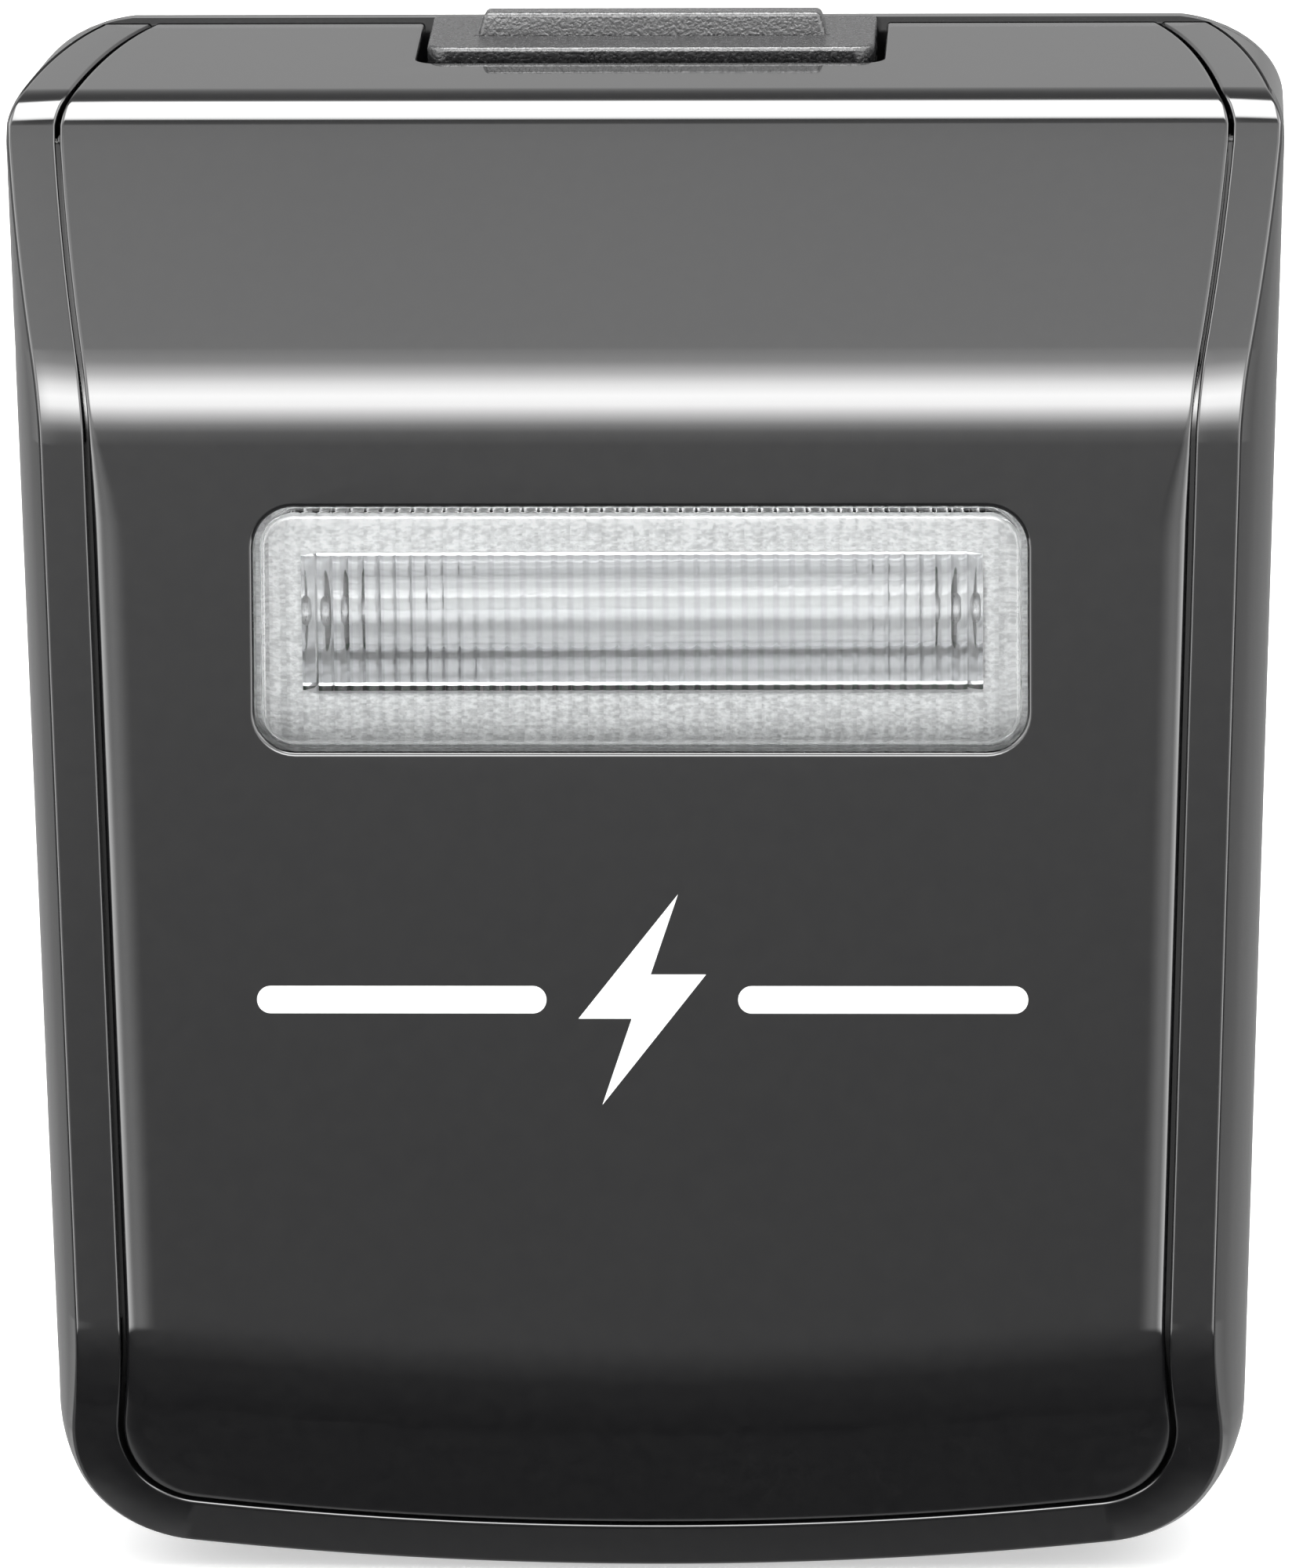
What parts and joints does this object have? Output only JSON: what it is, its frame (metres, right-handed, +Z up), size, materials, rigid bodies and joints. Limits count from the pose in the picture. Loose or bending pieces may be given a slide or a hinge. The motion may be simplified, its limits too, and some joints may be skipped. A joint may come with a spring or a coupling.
{
  "type": "clip-on speedlight flash",
  "caption": "Small detachable flash with a ribbed window, bowed glossy case, sprung release button and rear clip hooks.",
  "frame": {"origin": "centre of the seating pad on the rear face", "axes": "+X right seen from the window side, +Y back towards the host, +Z up"},
  "size_m": [0.0602, 0.0279, 0.0729],
  "materials": {
    "gloss_black": "polished black moulding",
    "matte_black": "fine spark-eroded texture",
    "window_clear": "clear, ribbed on the inside",
    "bezel_grey": "light grey, sand texture",
    "polished_aluminium": "mirror-polished sheet",
    "tube_glass": "clear",
    "steel": "plated",
    "silicone": "soft, satin",
    "gold": "gold-plated contacts",
    "board": "green solder mask",
    "component": "moulded component bodies"
  },
  "bodies": {
    "case": {"front_cover": "gloss_black", "housing": "gloss_black", "rear_cover": "gloss_black", "window_lens": "window_clear", "reflector_holder": "bezel_grey", "reflector": "polished_aluminium", "flash_tube": "tube_glass", "trigger_wire": "silicone", "button_guide": "matte_black", "contact_block": "matte_black", "circuit_board": "board", "storage_capacitor": "component", "trigger_transformer": "component", "trigger_capacitor": "component", "power_transistor": "component", "control_chip": "component", "electrode_left": "steel", "tube_sleeve_left": "silicone", "electrode_wire_left": "silicone", "holder_screw_lower_left": "steel", "holder_screw_upper_left": "steel", "board_screw_left": "steel", "guide_screw_left": "steel", "button_spring_left": "steel", "rear_screw_top_left": "steel", "rear_screw_bottom_left": "steel", "electrode_right": "steel", "tube_sleeve_right": "silicone", "electrode_wire_right": "silicone", "holder_screw_lower_right": "steel", "holder_screw_upper_right": "steel", "board_screw_right": "steel", "guide_screw_right": "steel", "button_spring_right": "steel", "rear_screw_top_right": "steel", "rear_screw_bottom_right": "steel"},
    "button": {"release_button": "matte_black", "retaining_clip_left": "steel", "retaining_clip_right": "steel"},
    "contact_pin_1": {"contact_pin_1": "gold"},
    "contact_pin_2": {"contact_pin_2": "gold"},
    "contact_pin_3": {"contact_pin_3": "gold"},
    "contact_pin_4": {"contact_pin_4": "gold"},
    "contact_pin_5": {"contact_pin_5": "gold"},
    "contact_pin_6": {"contact_pin_6": "gold"}
  },
  "joints": [
    {"name": "button_press", "type": "slide", "parent": "case", "child": "button", "axis": [0, 0, -1], "range_m": [0, 0.0018], "stiffness_N_per_m": 1500, "springref_m": -0.002, "deforming": ["button_spring_left", "button_spring_right"]},
    {"name": "contact_pin_1_press", "type": "slide", "parent": "case", "child": "contact_pin_1", "axis": [0, -1, 0], "range_m": [0, 0.0009], "stiffness_N_per_m": 600, "springref_m": -0.0005},
    {"name": "contact_pin_2_press", "type": "slide", "parent": "case", "child": "contact_pin_2", "axis": [0, -1, 0], "range_m": [0, 0.0009], "stiffness_N_per_m": 600, "springref_m": -0.0005},
    {"name": "contact_pin_3_press", "type": "slide", "parent": "case", "child": "contact_pin_3", "axis": [0, -1, 0], "range_m": [0, 0.0009], "stiffness_N_per_m": 600, "springref_m": -0.0005},
    {"name": "contact_pin_4_press", "type": "slide", "parent": "case", "child": "contact_pin_4", "axis": [0, -1, 0], "range_m": [0, 0.0009], "stiffness_N_per_m": 600, "springref_m": -0.0005},
    {"name": "contact_pin_5_press", "type": "slide", "parent": "case", "child": "contact_pin_5", "axis": [0, -1, 0], "range_m": [0, 0.0009], "stiffness_N_per_m": 600, "springref_m": -0.0005},
    {"name": "contact_pin_6_press", "type": "slide", "parent": "case", "child": "contact_pin_6", "axis": [0, -1, 0], "range_m": [0, 0.0009], "stiffness_N_per_m": 600, "springref_m": -0.0005}
  ]
}
